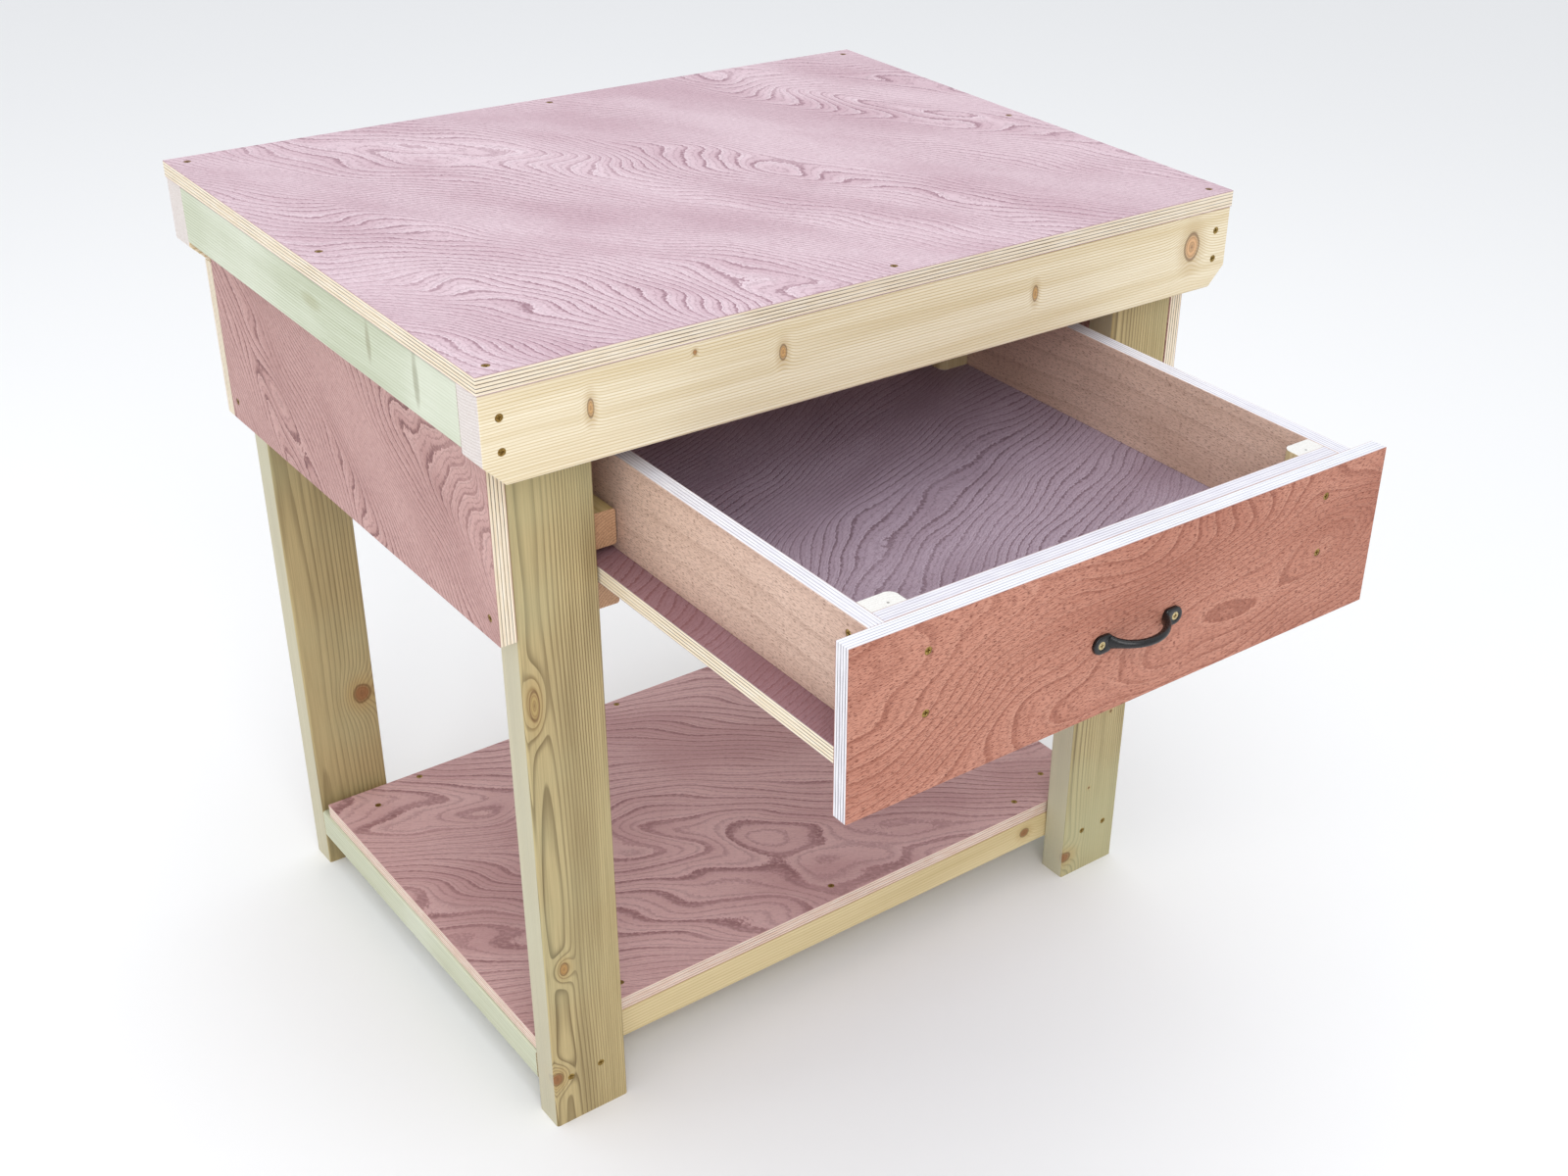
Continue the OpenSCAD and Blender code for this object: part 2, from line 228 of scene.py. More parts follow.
PLY_LAYERS = 5
PLY_RELIEF = 0.00028
PALE_EDGE = ("#f8eedc", "#ecdcc0", "#d3ba96", "#4c3b2e")
PINK_EDGE = ("#f5e5d8", "#e8cab6", "#d0a68f", "#7d5c52")
# The drawer boards' edges: pale plywood layers with a cool lilac cast that is painted sky light.
SKY_LIT_EDGE = ("#f6f6f8", "#dedbe2", "#b3adba", "#5f5863")
WORKTOP_VENEER = ("#dfc9d1", "#ba96a2", "#8a6672", "#f2e6ec")
SHELF_VENEER = ("#dcb5b2", "#ba8c8b", "#7d5053", "#dcbab6")
ROSE_VENEER = ("#d0a8a2", "#a67a75", "#754a4b", "#dcbab4")
RED_VENEER = ("#ca8e79", "#a46450", "#7c4131", "#d9a792")
TAN_VENEER = ("#dfc1b0", "#bd9c89", "#957769", "#e8d2c2")
# The drawer bottom's face: its figure over a lilac-grey that is a painted reflection of the sky. The board's
# own reddish brown shows only in the margin.
SKY_SHEEN_VENEER = ("#b09eae", "#8d7785", "#5d434e", "#c0b0c0")


def growth_lines(paint, side, grained, spacing, swirl):
    """The growth lines of a peeled veneer: level lines of a ramp across the grain bent by slow noise.
    Returns a thin dark line, the soft band before it, the fine lines between and the pale ridge after it."""
    slow = grained(1.7, 4.2, 1.0, 0.4)
    medium = grained(6.0, 12.0, 1.0)
    ragged = grained(240.0, 170.0, 2.0, 0.6)
    field = paint.add(paint.times(side, 1.0 / spacing), paint.times(slow, swirl))
    field = paint.add(field, paint.times(medium, swirl * 0.17))
    field = paint.add(field, paint.times(ragged, 0.0045 / spacing))
    part = paint.fraction(field)
    vein = paint.times(paint.ease(part, 0.74, 0.92), paint.ease(part, 0.94, 1.0, 1.0, 0.0))
    band = paint.times(paint.maths("POWER", part, 2.0), paint.ease(part, 0.96, 1.0, 1.0, 0.0))
    between = paint.fraction(paint.add(paint.times(field, 3.0), 0.4))
    fine = paint.times(paint.ease(between, 0.55, 0.85), paint.ease(between, 0.88, 1.0, 1.0, 0.0))
    ridge = paint.ease(part, 0.0, 0.30, 1.0, 0.0)
    return vein, band, fine, ridge


def ply_face(paint, side, grained, veneer, spacing, swirl, contrast, pores):
    """The face veneer: growth lines that come and go, cloudy patches, fibres and pores.
    Returns its colour, its relief and its fibres."""
    face, dark, line, pale = [colour(code) for code in veneer]
    vein, band, fine, ridge = growth_lines(paint, side, grained, spacing, swirl)
    strength = paint.ease(grained(4.0, 11.0, 3.0, slice_off=3.0), 0.34, 0.60, 0.35, 1.0)
    dashes = paint.ease(grained(150.0, 260.0, 1.0, slice_off=5.0), 0.3, 0.55, 0.35, 1.0)
    patch = grained(4.0, 9.0, 3.0, slice_off=7.0)
    fibre = grained(60.0, 1100.0, 3.0, 0.6)
    pore = paint.ease(grained(190.0, 1500.0, 1.0), 0.56, 0.67)

    coat = paint.mix(paint.ease(patch, 0.4, 0.7, 0.0, 0.6), face, dark)
    coat = paint.mix(paint.times(paint.times(band, strength), contrast * 0.8), coat, dark)
    coat = paint.mix(paint.times(paint.times(fine, dashes), contrast * 0.5), coat, line)
    coat = paint.mix(paint.times(paint.times(ridge, dashes), contrast * 0.35), coat, pale)
    coat = paint.mix(paint.times(paint.times(vein, strength), paint.times(dashes, contrast)), coat, line)
    coat = paint.mix(paint.times(paint.ease(fibre, 0.4, 0.7), 0.45), coat, dark)
    coat = paint.mix(paint.times(pore, pores), coat, line)
    relief = paint.add(paint.times(vein, -0.5), paint.times(pore, -0.6))
    return coat, paint.add(relief, paint.times(fibre, 0.6)), fibre


def ply_edge(paint, coordinates, across, bottom, thickness, skin, edge):
    """The layers seen on a sawn edge, every other one showing its end grain, with glue between them and
    the face veneer as a skin. Returns the colour and the relief."""
    light, middle, deep, glue_dark = [colour(code) for code in edge]
    level = paint.times(paint.less(coordinates[across], bottom), 1.0 / thickness)
    waver = paint.noise(paint.place, 9.0, 2.0)
    level = paint.add(level, paint.times(paint.less(waver, 0.5), 0.03))
    layer = paint.times(level, float(PLY_LAYERS))
    odd = paint.ease(paint.maths("PINGPONG", layer, 1.0), 0.35, 0.65)
    glue = paint.ease(paint.span(paint.fraction(paint.add(layer, 0.5)), 0.5), 0.07, 0.17, 1.0, 0.0)
    speck = paint.noise(paint.place, 1100.0, 2.0, 0.7)
    cells = [paint.times(c, 900.0 if i == across else 45.0) for i, c in enumerate(coordinates)]
    streak = paint.noise(paint.vector(*cells), 1.0, 2.0, 0.6)

    long_grain = paint.mix(paint.ease(streak, 0.3, 0.7), light, middle)
    end_grain = paint.mix(paint.ease(speck, 0.2, 0.8), middle, deep)
    coat = paint.mix(paint.times(odd, 0.35), long_grain, end_grain)
    gap = paint.ease(paint.noise(paint.place, 14.0, 2.0), 0.35, 0.6, 0.6, 1.0)
    coat = paint.mix(paint.times(glue, paint.times(gap, 0.8)), coat, glue_dark)
    coat = paint.mix(paint.times(paint.ease(paint.span(level, 0.5), 0.44, 0.455), 0.8), coat, colour(skin))
    return coat, paint.add(paint.times(glue, -0.8), paint.times(speck, 0.15))


def plywood(name, node, across, grain, veneer, edge, spacing=0.011, swirl=16.0, contrast=0.6, pores=0.5,
            seed=0.0, sky_highlight_top=None, margin=None):
    """Plywood whose normal is axis across and whose face veneer runs at grain degrees.
    The upper edge's colour, if given, is painted along the board's upper edge as a highlight of sky light.
    margin
    is (x, colour): the face turns to that colour further than x from the middle."""
    paint = Paint(name)
    coordinates = paint.axes()
    low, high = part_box(node)
    a, b = [coordinates[i] for i in FACE_AXES[across]]
    turn = math.radians(grain)
    along = paint.add(paint.times(a, math.cos(turn)), paint.times(b, math.sin(turn)))
    side = paint.add(paint.times(a, -math.sin(turn)), paint.times(b, math.cos(turn)))

    def grained(rate_along, rate_across, detail, roughness=0.5, slice_off=0.0):
        """Noise with its own number of cells a metre along and across the grain."""
        cells = paint.times(along, rate_along), paint.times(side, rate_across), seed + slice_off
        return paint.noise(paint.vector(*cells), 1.0, detail, roughness)

    face, face_relief, fibre = ply_face(paint, side, grained, veneer, spacing, swirl, contrast, pores)
    if margin is not None:
        start, tint = margin
        out = paint.ease(paint.maths("ABSOLUTE", coordinates[0]), start - 0.004, start + 0.002, 0.0, 0.6)
        face = paint.mix(out, face, colour(tint))
    thickness = high[across] - low[across]
    layers, edge_relief = ply_edge(paint, coordinates, across, low[across], thickness, veneer[1], edge)
    # Painted highlight: the upper edge is mixed towards a pale bluish colour, standing in for the sky light
    # falling on it.
    if sky_highlight_top is not None:
        layers = paint.mix(paint.near(coordinates[2], high[2], 0.4), layers, colour(sky_highlight_top))

    on_face = paint.on_planes(coordinates[across], low[across], high[across])
    on_edge = paint.less(1.0, on_face)
    paint.set("Base Color", paint.mix(on_edge, face, layers))
    paint.bump(paint.add(paint.times(face_relief, on_face), paint.times(edge_relief, on_edge)), PLY_RELIEF)
    paint.set("Roughness", paint.ease(fibre, 0.3, 0.7, 0.5, 0.68))
    paint.set("Specular IOR Level", 0.3)
    return paint.material


# --- Softwood ---------------------------------------------------------------------------------------

PINE_RELIEF = 0.0003
BEAM_CUT = 0.022                             # cut off the lower corner of each end of a beam
KNOT_HALO = "#b8955a"
KNOT_RING = "#7a4a28"
KNOT_CORE = "#6a4026"
KNOT_RIM = "#6a4526"
BEAM_WOOD = ("#f7ecd2", "#cdb47e", ("#e6deda", "#c2b5ac"))
RAIL_WOOD = ("#cfd5bf", "#9fa683", ("#d5d0c0", "#a89f86"))
LEG_WOOD = ("#c1ad7e", "#614c28", ("#c8b894", "#8e7a52"))
SHELF_WOOD = ("#e2cfa2", "#b89f68", ("#d2c4a2", "#a08c64"))
SHELF_SIDE_WOOD = ("#cdd0b8", "#a8a884", ("#d2c4a2", "#a08c64"))
RUNNER_WOOD = ("#c9b27e", "#a08450", ("#d0a884", "#93694a"))
BLOCK_WOOD = ("#d5c49c", "#b09a68", ("#ecebe8", "#cfcbc6"))


def draw_knot(paint, wood, distance, heart):
    """A knot drawn over the wood: a warm halo, rings of its own with a dark core, and a dark rim.
    distance is 1 at the rim."""
    wood = paint.mix(paint.ease(distance, 0.9, 2.8, 0.4, 0.0), wood, colour(KNOT_HALO))
    rings = paint.fraction(paint.times(distance, 2.6))
    inside = paint.mix(paint.ease(rings, 0.4, 0.95, 0.0, 0.5), colour(heart), colour(KNOT_RING))
    inside = paint.mix(paint.ease(distance, 0.0, 0.35, 0.6, 0.0), inside, colour(KNOT_CORE))
    wood = paint.mix(paint.ease(distance, 0.7, 1.05, 0.85, 0.0), wood, inside)
    rim = paint.times(paint.ease(distance, 0.75, 1.0), paint.ease(distance, 1.0, 1.25, 0.7, 0.0))
    return paint.mix(rim, wood, colour(KNOT_RIM))


def softwood(name, node, long, pith, wood_colours, knots=(), spacing=0.0036, taper=0.004, wander=0.010,
             contrast=0.8, stain=None, side_tint=None, marks=(), cut=0.0, seed=0.0):
    """Sawn softwood with growth rings round a pith that runs along axis long, so faces and ends agree.
    pith is where it passes, from the section's middle. Each knot, and each soft mark, is (place, half
    sizes, colour). cut is how far the lower corner of each end is cut off, at 45 degrees."""
    early, late, end = wood_colours
    paint = Paint(name)
    coordinates = paint.axes()
    low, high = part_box(node)
    run = coordinates[long]

    def stretched(rate_along, rate_across, detail, roughness=0.5):
        """Noise with its own number of cells a metre along and across the timber."""
        cells = [paint.times(c, rate_along if i == long else rate_across) for i, c in enumerate(coordinates)]
        cells[long] = paint.add(cells[long], seed)
        return paint.noise(paint.vector(*cells), 1.0, detail, roughness)

    # Distance from the pith, which wanders a little, in a log that tapers
    squares = []
    for axis, offset, shift in zip(FACE_AXES[long], pith, (0.0, 11.0)):
        sway = paint.noise(paint.vector(paint.times(run, 2.2), seed + shift, 0.0), 1.0, 1.5)
        away = paint.less(coordinates[axis], (low[axis] + high[axis]) / 2 + offset)
        away = paint.add(away, paint.times(paint.less(sway, 0.5), wander))
        squares.append(paint.times(away, away))
    slow = stretched(3.0, 30.0, 2.0)
    slow_sway = paint.less(slow, 0.5)
    radius = paint.maths("SQRT", paint.add(*squares))
    radius = paint.add(radius, paint.times(run, taper))
    radius = paint.add(radius, paint.times(slow, spacing * 0.9))

    # Knots push the rings aside
    hearts = []
    for place, sizes, heart in knots:
        square = paint.egg(coordinates, place, sizes)
        push = paint.maths("EXPONENT", paint.times(square, -0.22))
        radius = paint.add(radius, paint.times(push, min(sizes) * 1.5))
        distance = paint.add(paint.maths("SQRT", square), paint.times(slow_sway, 0.9))
        hearts.append((distance, heart))

    # Rings, fibres and bands, then stain, knots and marks
    part = paint.fraction(paint.times(radius, 1.0 / spacing))
    ring = paint.times(paint.ease(part, 0.45, 0.92), paint.ease(part, 0.92, 1.0, 1.0, 0.0))
    fibre = stretched(9.0, 700.0, 3.0, 0.65)
    band = stretched(2.5, 45.0, 2.0)
    vigour = paint.ease(stretched(1.2, 22.0, 2.0), 0.35, 0.65, 0.45, 1.0)
    wood = paint.mix(paint.times(paint.times(ring, vigour), contrast), colour(early), colour(late))
    wood = paint.mix(paint.times(paint.ease(fibre, 0.35, 0.75), 0.3), wood, colour(late))
    wood = paint.mix(paint.times(paint.ease(band, 0.4, 0.75), 0.35), wood, colour(late))
    if stain is not None:
        blot = paint.noise(paint.place, 3.5, 3.0)
        wood = paint.mix(paint.ease(blot, 0.42, 0.75, 0.0, 0.7), wood, colour(stain))
    for distance, heart in hearts:
        wood = draw_knot(paint, wood, distance, heart)
    for place, sizes, tint in marks:
        square = paint.add(paint.egg(coordinates, place, sizes), paint.times(slow_sway, 1.2))
        wood = paint.mix(paint.ease(square, 0.0, 1.0, 0.5, 0.0), wood, colour(tint))
    if side_tint is not None:
        on_side = paint.times(paint.on_planes(coordinates[0], low[0], high[0]), 0.65)
        wood = paint.mix(on_side, wood, colour(side_tint))

    # End grain on both ends and on the cut corners
    speck = paint.noise(paint.place, 900.0, 2.0, 0.7)
    end_grain = paint.mix(paint.times(ring, 0.55), colour(end[0]), colour(end[1]))
    end_grain = paint.mix(paint.ease(speck, 0.4, 0.7, 0.0, 0.6), end_grain, colour(end[1]))
    on_end = paint.on_planes(run, low[long], high[long])
    if cut:
        slant = paint.less(paint.span(run, (low[long] + high[long]) / 2), paint.less(coordinates[2], low[2]))
        on_cut = paint.near(slant, (high[long] - low[long]) / 2 - cut, 0.55)
        on_end = paint.maths("MAXIMUM", on_end, on_cut)
    paint.set("Base Color", paint.mix(on_end, wood, end_grain))
    height = paint.add(paint.times(ring, 0.5), paint.times(fibre, 0.6))
    paint.bump(paint.add(height, paint.times(paint.times(speck, on_end), 0.6)), PINE_RELIEF)
    paint.set("Roughness", paint.ease(fibre, 0.3, 0.7, 0.48, 0.66))
    paint.set("Specular IOR Level", 0.35)
    return paint.material


# --- Metal ------------------------------------------------------------------------------------------

def metal(name, base, worn, roughness):
    """Plated metal, mottled between two colours, its plating worn and duller where the grain stands high."""
    paint = Paint(name)
    grain = paint.noise(paint.place, 900.0, 3.0, 0.6)
    paint.set("Base Color", paint.mix(paint.ease(grain, 0.35, 0.7), colour(base), colour(worn)))
    paint.set("Metallic", 1.0)
    paint.set("Roughness", paint.ease(grain, 0.3, 0.7, roughness, roughness + 0.2))
    paint.bump(grain, 0.00005)
    return paint.material


def black_enamel(name):
    """Satin black enamel with a faint orange-peel surface."""
    paint = Paint(name)
    peel = paint.noise(paint.place, 420.0, 2.0, 0.5)
    paint.set("Base Color", paint.mix(paint.ease(peel, 0.4, 0.7), colour("#08080a"), colour("#101014")))
    paint.set("Roughness", paint.ease(peel, 0.3, 0.7, 0.24, 0.36))
    paint.bump(peel, 0.00008)
    return paint.material


# --- The pull ---------------------------------------------------------------------------------------

BOW_RADIUS = 0.040
BOW_OUT = 0.0268                             # from the drawer's face to the front of the bow
BOW_SUNK = 0.0004                            # how far behind the drawer's face the arc ends
BAR_HALF = 0.0045
FOOT_HALF = 0.00925
FOOT_INNER = 0.0125                          # from the screw to the foot's inner side
FOOT_THICK = 0.004
SCREW_OUT = 0.046                            # from the pull's middle to each screw
# Up a foot's side and over its rounded edge: (share of the outline, height)
FOOT_SIDE = ((1.0, 0.0), (1.0, 0.0024), (0.975, 0.0033), (0.92, 0.0038), (0.82, FOOT_THICK))
# Down the countersink and the screw's hole: (radius, height)
FOOT_HOLE = ((0.0050, FOOT_THICK), (0.0042, 0.0036), (0.0022, 0.0014), (0.0022, 0.0))


def closed_grid(name, points, wrap_rows):
    """A mesh from rows of points, each row a closed loop. The rows join up end to start when wrap_rows is
    true, and otherwise the first and last loops are filled."""
    rows, columns = points.shape[:2]
    index = np.arange(rows * columns).reshape(rows, columns)
    beside = np.roll(index, -1, axis=1)
    above, above_beside = np.roll(index, -1, axis=0), np.roll(beside, -1, axis=0)
    faces = np.stack([index, beside, above_beside, above], axis=-1)
    if wrap_rows:
        faces = faces.reshape(-1, 4).tolist()
    else:
        faces = faces[:-1].reshape(-1, 4).tolist() + [index[0][::-1].tolist(), index[-1].tolist()]
    mesh = bpy.data.meshes.new(name)
    mesh.from_pydata(points.reshape(-1, 3).tolist(), [], faces)
    mesh.shade_smooth()
    return mesh


def bow_mesh(face_y, middle_z):
    """The bow: an ellipse carried along an arc of radius BOW_RADIUS. Along the arc, t goes from -1 to 1.
    The ellipse's half height grows by the fifth power of t, so the bar flares into its feet, while its half
    thickness shrinks a little by the square of t. What would lie behind the drawer's face is flattened
    onto it."""
    reach = 0.9 * BAR_HALF + BOW_RADIUS - BOW_OUT
    half_angle = math.acos((reach - BOW_SUNK) / BOW_RADIUS)
    t = np.linspace(-1.0, 1.0, 49)[:, None]
    around = np.linspace(0.0, 2.0 * np.pi, 24, endpoint=False)[None, :]
    turn = t * half_angle
    thick = BAR_HALF * (0.9 - 0.1 * np.abs(t) ** 2)
    tall = BAR_HALF * (0.85 + 1.02 * np.abs(t) ** 5)
    radius = BOW_RADIUS + thick * np.cos(around)
    x = radius * np.sin(turn)
    y = face_y + reach - radius * np.cos(turn)
    z = middle_z + tall * np.sin(around)
    return closed_grid("bow", np.stack([x, np.minimum(y, face_y), z], axis=-1), False)


def foot_mesh(face_y, middle_z, hand):
    """A foot: loops that follow its outline, step up its side, over its edge, in to the screw's countersink
    and back down the hole. The outline is a half circle on the outer side. On the inner side it is half a
    superellipse, where the fifth powers of the two distances from the screw, each as a share of its half
    size, add up to 1: a square with rounded corners."""
    angle = np.linspace(0.0, 2.0 * np.pi, 64, endpoint=False)
    c, s = np.cos(angle), np.sin(angle)
    inner = (np.abs(c) ** 5 + np.abs(s) ** 5) ** -0.2
    along = np.where(c >= 0, c, c * inner * FOOT_INNER / FOOT_HALF)
    up = np.where(c >= 0, s, s * inner)
    outline = np.stack([along, up], axis=-1) * FOOT_HALF
    circle = np.stack([c, s], axis=-1)
    steps = [(outline * share, height) for share, height in FOOT_SIDE]
    steps += [(circle * radius, height) for radius, height in FOOT_HOLE]
    loops = []
    for shape, height in steps:
        x = hand * (SCREW_OUT + shape[:, 0])
        loops.append(np.stack([x, np.full_like(x, face_y - height), middle_z + shape[:, 1]], axis=-1))
    points = np.stack(loops)
    return closed_grid("foot", points if hand > 0 else points[:, ::-1], True)


def make_pull():
    """The black pull: a bow and two feet, joined into one piece that stands for the frame's pull."""
    low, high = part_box("drawer_pull")
    middle_z = (low[2] + high[2]) / 2
    meshes = [bow_mesh(high[1], middle_z)] + [foot_mesh(high[1], middle_z, hand) for hand in (-1, 1)]
    piece = bpy.data.objects.new("forged_pull", meshes[0])
    bpy.context.scene.collection.objects.link(piece)
    build = bmesh.new()
    for mesh in meshes:
        build.from_mesh(mesh)
    bmesh.ops.recalc_face_normals(build, faces=build.faces)
    build.to_mesh(meshes[0])
    build.free()
    meshes[0].shade_smooth()
    piece.data.materials.append(black_enamel("black_enamel"))
    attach(piece, "drawer")
    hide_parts("drawer_pull")


# --- Pieces from the frame --------------------------------------------------------------------------

BOARD_EASE = 0.0006
BEAM_EASE = 0.001
LONG_EDGE = 0.004                            # shorter edges, such as those round a screw hole, stay crisp
SHARP_ANGLE = 0.6                            # radians
SAME_POINT = 0.00001


def joined_flat():
    """The steps that join a frame mesh's loose triangles, let every face shade flat and mark its long
    sharp edges to be eased."""
    tree = bpy.data.node_groups.new("joined_flat", "GeometryNodeTree")
    tree.interface.new_socket("Mesh", in_out="INPUT", socket_type="NodeSocketGeometry")
    tree.interface.new_socket("Mesh", in_out="OUTPUT", socket_type="NodeSocketGeometry")
    last = tree.nodes.new("NodeGroupInput").outputs[0]
    for kind, name, value in (("GeometryNodeRemoveAttribute", "Name", "custom_normal"),
                              ("GeometryNodeMergeByDistance", "Distance", SAME_POINT),
                              ("GeometryNodeSetShadeSmooth", "Shade Smooth", False),
                              ("GeometryNodeStoreNamedAttribute", "Name", "bevel_weight_edge")):
        step = tree.nodes.new(kind)
        tree.links.new(last, step.inputs["Geometry"])
        step.inputs[name].default_value = value
        last = step.outputs[0]
    tree.links.new(last, tree.nodes.new("NodeGroupOutput").inputs[0])
    step.domain = "EDGE"

    ends = tree.nodes.new("GeometryNodeInputMeshEdgeVertices")
    length = tree.nodes.new("ShaderNodeVectorMath")
    length.operation = "DISTANCE"
    tree.links.new(ends.outputs["Position 1"], length.inputs[0])
    tree.links.new(ends.outputs["Position 2"], length.inputs[1])
    angle = tree.nodes.new("GeometryNodeInputMeshEdgeAngle")
    both = tree.nodes.new("ShaderNodeMath")
    both.operation = "MULTIPLY"
    for slot, value, least in ((0, length.outputs["Value"], LONG_EDGE),
                               (1, angle.outputs["Unsigned Angle"], SHARP_ANGLE)):
        test = tree.nodes.new("ShaderNodeMath")
        test.operation = "GREATER_THAN"
        test.inputs[1].default_value = least
        tree.links.new(value, test.inputs[0])
        tree.links.new(test.outputs[0], both.inputs[slot])
    tree.links.new(both.outputs[0], step.inputs["Value"])
    return tree


JOINED_FLAT = joined_flat()


def dress(node, material, edge_width=0.0):
    """Gives a frame piece its material and, unless edge_width is 0, eased edges."""
    piece = NODES[node]
    piece.data.materials.clear()
    piece.data.materials.append(material)
    if edge_width:
        piece.modifiers.new("joined", "NODES").node_group = JOINED_FLAT
        bevel = piece.modifiers.new("eased", "BEVEL")
        bevel.width = edge_width
        bevel.segments = 2
        bevel.limit_method = "WEIGHT"


def dress_bench_boards():
    """The worktop, the shelf and the three panels, each with its own figure."""
    dress("worktop", plywood("worktop_veneer", "worktop", 2, -57.0, WORKTOP_VENEER, PALE_EDGE,
                             spacing=0.0090, swirl=41.0, contrast=0.95, pores=0.3, seed=1.0), BOARD_EASE)
    dress("shelf_board", plywood("shelf_veneer", "shelf_board", 2, -35.0, SHELF_VENEER, PINK_EDGE,
                                 spacing=0.024, swirl=19.0, contrast=0.8, pores=0.25, seed=5.0), BOARD_EASE)
    for seed, node in ((9.0, "side_panel_left"), (13.0, "side_panel_right")):
        dress(node, plywood(node + "_veneer", node, 0, 38.0, ROSE_VENEER, PALE_EDGE, spacing=0.0115,
                            swirl=52.0, contrast=1.0, pores=0.25, seed=seed), BOARD_EASE)
    dress("back_panel", plywood("back_panel_veneer", "back_panel", 1, 4.0, ROSE_VENEER, PALE_EDGE,
                                spacing=0.014, swirl=12.0, contrast=0.7, pores=0.25, seed=17.0), BOARD_EASE)


def dress_drawer_boards():
    """The six boards of the drawer."""
    # The drawer boards' edges carry a painted sky tint, and each board's upper edge a painted sky highlight.
    front = plywood("drawer_front_veneer", "drawer_front", 1, 3.0, RED_VENEER, SKY_LIT_EDGE, spacing=0.028,
                    swirl=36.0, contrast=0.55, pores=1.0, seed=26.0, sky_highlight_top="#e6ebf6")
    dress("drawer_front", front, BOARD_EASE)
    inner = plywood("inner_front_veneer", "drawer_inner_front", 1, 0.0, TAN_VENEER, SKY_LIT_EDGE, spacing=0.03,
                    swirl=3.0, contrast=0.15, pores=0.5, seed=25.0, sky_highlight_top="#d6d4e2")
    dress("drawer_inner_front", inner, BOARD_EASE)
    for seed, node, across in ((29.0, "drawer_side_left", 0), (33.0, "drawer_side_right", 0),
                               (37.0, "drawer_back", 1)):
        dress(node, plywood(node + "_veneer", node, across, 0.0, TAN_VENEER, SKY_LIT_EDGE, spacing=0.03,
                            swirl=2.5, contrast=0.25, pores=0.9, seed=seed, sky_highlight_top="#e3e3ee"), BOARD_EASE)
    # The middle of the bottom carries a painted sky reflection. Beyond 0.285 from the middle the face shows
    # the board's own reddish brown.
    bottom = plywood("drawer_bottom_veneer", "drawer_bottom", 2, 25.0, SKY_SHEEN_VENEER, PALE_EDGE, spacing=0.009,
                     swirl=26.0, contrast=0.8, pores=0.3, seed=41.0, margin=(0.285, "#8a5450"))
    dress("drawer_bottom", bottom, BOARD_EASE)


def dress_beams():
    """The front beam with its five knots, and the back beam."""
    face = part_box("front_beam")[0][1]
    knots = [((-0.349, face, 0.855), (0.0035, 0.02, 0.009), "#cfa36c"),
             ((-0.143, face, 0.860), (0.0045, 0.02, 0.008), "#d0a064"),
             ((0.173, face, 0.850), (0.0035, 0.02, 0.008), "#cfa060"),
             ((-0.240, face, 0.882), (0.002, 0.02, 0.0025), "#b07a44"),
             ((0.401, face, 0.856), (0.010, 0.02, 0.015), "#e0b080")]
    dress("front_beam", softwood("front_beam_pine", "front_beam", 0, (0.02, 0.16), BEAM_WOOD, knots=knots,
                                 spacing=0.0030, taper=0.002, contrast=0.85, cut=BEAM_CUT, seed=1.0),
          BEAM_EASE)
    dress("back_beam", softwood("back_beam_pine", "back_beam", 0, (0.10, 0.05), BEAM_WOOD, spacing=0.0030,
                                cut=BEAM_CUT, seed=4.0), BEAM_EASE)


def dress_side_rails():
    """The two rails under the worktop, greenish and with three soft marks on the outside."""
    for seed, node, outer in ((7.0, "side_rail_left", 0), (9.0, "side_rail_right", 1)):
        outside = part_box(node)[outer][0]
        marks = [((outside, -0.045, 0.868), (0.02, 0.007, 0.034), "#7d7a58"),
                 ((outside, 0.050, 0.870), (0.02, 0.006, 0.026), "#8a8563"),
                 ((outside, 0.175, 0.868), (0.02, 0.030, 0.012), "#a4a37c")]
        dress(node, softwood(node + "_pine", node, 1, (0.03, 0.12), RAIL_WOOD, spacing=0.0032, taper=0.003,
                             contrast=0.8, stain="#e2e6d6", marks=marks, seed=seed))


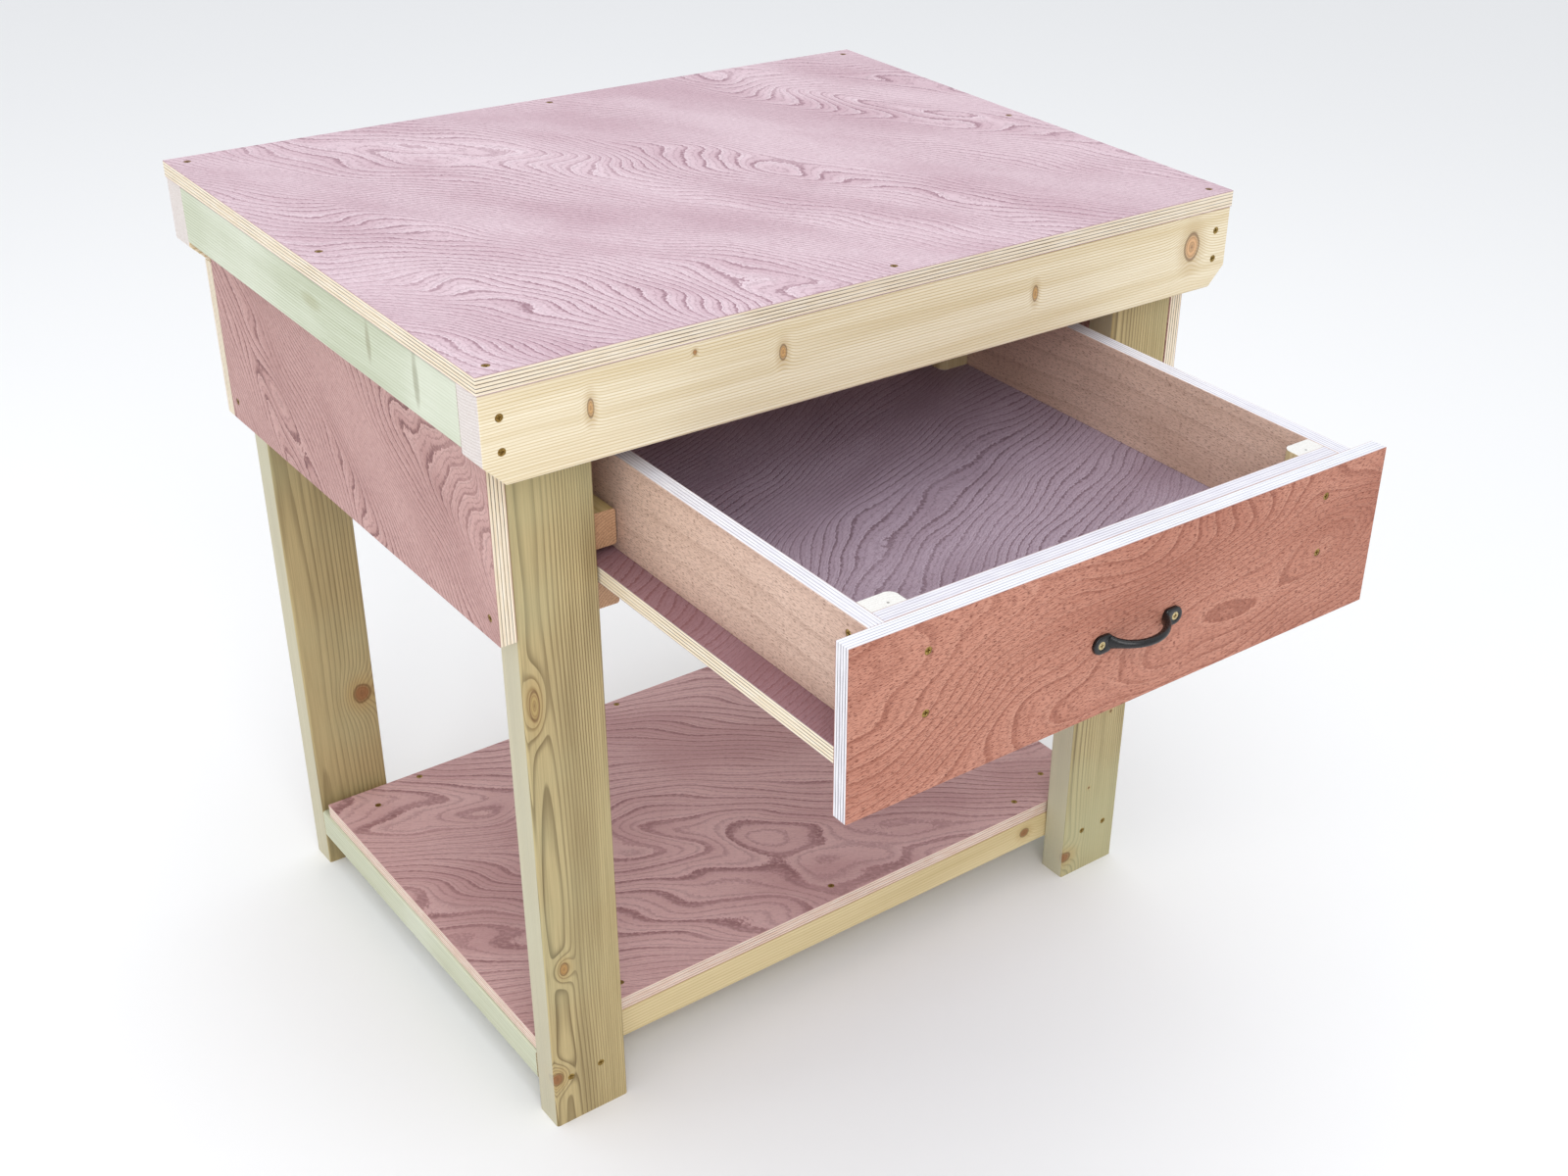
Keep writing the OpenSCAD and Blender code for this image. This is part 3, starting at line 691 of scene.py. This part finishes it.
def dress_legs():
    """The four legs. Each has its pith's place, the spacing and contrast of its rings, and its knots."""
    left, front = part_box("leg_front_left")[0][:2]
    right, right_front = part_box("leg_front_right")[0][:2]
    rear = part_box("leg_back_left")[0][1]
    legs = {
        "leg_front_left": ((-0.027, 0.028), 0.0021, 0.9, [
            ((left + 0.004, front, 0.068), (0.007, 0.012, 0.008), "#8f5a34"),
            ((left + 0.022, front, 0.214), (0.005, 0.02, 0.008), "#b58a50"),
            ((left + 0.012, front, 0.546), (0.005, 0.02, 0.016), "#b39a62")]),
        "leg_front_right": ((-0.050, 0.030), 0.0030, 0.8, [
            ((right, right_front, 0.031), (0.012, 0.006, 0.008), "#8f5a34"),
            ((0.391, right_front, 0.237), (0.0022, 0.01, 0.0022), "#6e4a2a"),
            ((0.365, right_front, 0.129), (0.0018, 0.01, 0.0018), "#6e4a2a")]),
        "leg_back_left": ((-0.034, 0.026), 0.0040, 0.5, [
            ((-0.346, rear, 0.234), (0.011, 0.02, 0.013), "#93603c")]),
        "leg_back_right": ((0.040, 0.050), 0.0030, 0.7, []),
    }
    for seed, (node, (pith, spacing, contrast, knots)) in enumerate(legs.items()):
        dress(node, softwood(node + "_pine", node, 2, pith, LEG_WOOD, knots=knots, spacing=spacing,
                             taper=0.006, contrast=contrast, stain="#b7b48c", side_tint="#cfccb6",
                             seed=20.0 + seed))


def dress_shelf_rails():
    """The four rails under the shelf. A knot shows on the front one's face."""
    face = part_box("shelf_front_rail")[0][1]
    knots = [((0.293, face, 0.066), (0.007, 0.02, 0.006), "#8f5a34")]
    for seed, node in enumerate(("shelf_front_rail", "shelf_back_rail")):
        dress(node, softwood(node + "_pine", node, 0, (0.05, 0.09), SHELF_WOOD, knots=knots, spacing=0.0032,
                             contrast=0.6, seed=30.0 + seed))
    for seed, node in enumerate(("shelf_side_rail_left", "shelf_side_rail_right")):
        dress(node, softwood(node + "_pine", node, 1, (0.05, 0.09), SHELF_SIDE_WOOD, spacing=0.0032,
                             contrast=0.5, stain="#d9dccb", seed=34.0 + seed))


def dress_drawer_timbers():
    """The runners that the drawer slides between, and the blocks in its corners."""
    for seed, node in enumerate(("upper_runner_left", "upper_runner_right", "lower_runner_left",
                                 "lower_runner_right")):
        dress(node, softwood(node + "_pine", node, 1, (0.02, -0.03), RUNNER_WOOD, spacing=0.0030,
                             contrast=0.8, stain="#b5b488", seed=40.0 + seed))
    for seed, corner in enumerate(("front_left", "front_right", "back_left", "back_right")):
        node = "drawer_block_" + corner
        dress(node, softwood(node + "_pine", node, 2, (0.03, 0.02), BLOCK_WOOD, spacing=0.0026, contrast=0.5,
                             seed=50.0 + seed), BOARD_EASE)


def dress_fixings():
    """Screws, nails and the pull's two brass screws."""
    zinc = metal("yellow_zinc", "#b79a58", "#7d6636", 0.35)
    for node in NODES:
        if node.endswith("_screws"):
            dress(node, zinc)
    dress("pull_screws", metal("brass", "#dccb9f", "#a38d5c", 0.28))
    dress("drawer_block_nails", metal("bright_steel", "#b8b6b2", "#7c7a76", 0.35))


make_camera()
make_studio()
dress_bench_boards()
dress_drawer_boards()
dress_beams()
dress_side_rails()
dress_legs()
dress_shelf_rails()
dress_drawer_timbers()
dress_fixings()
make_pull()
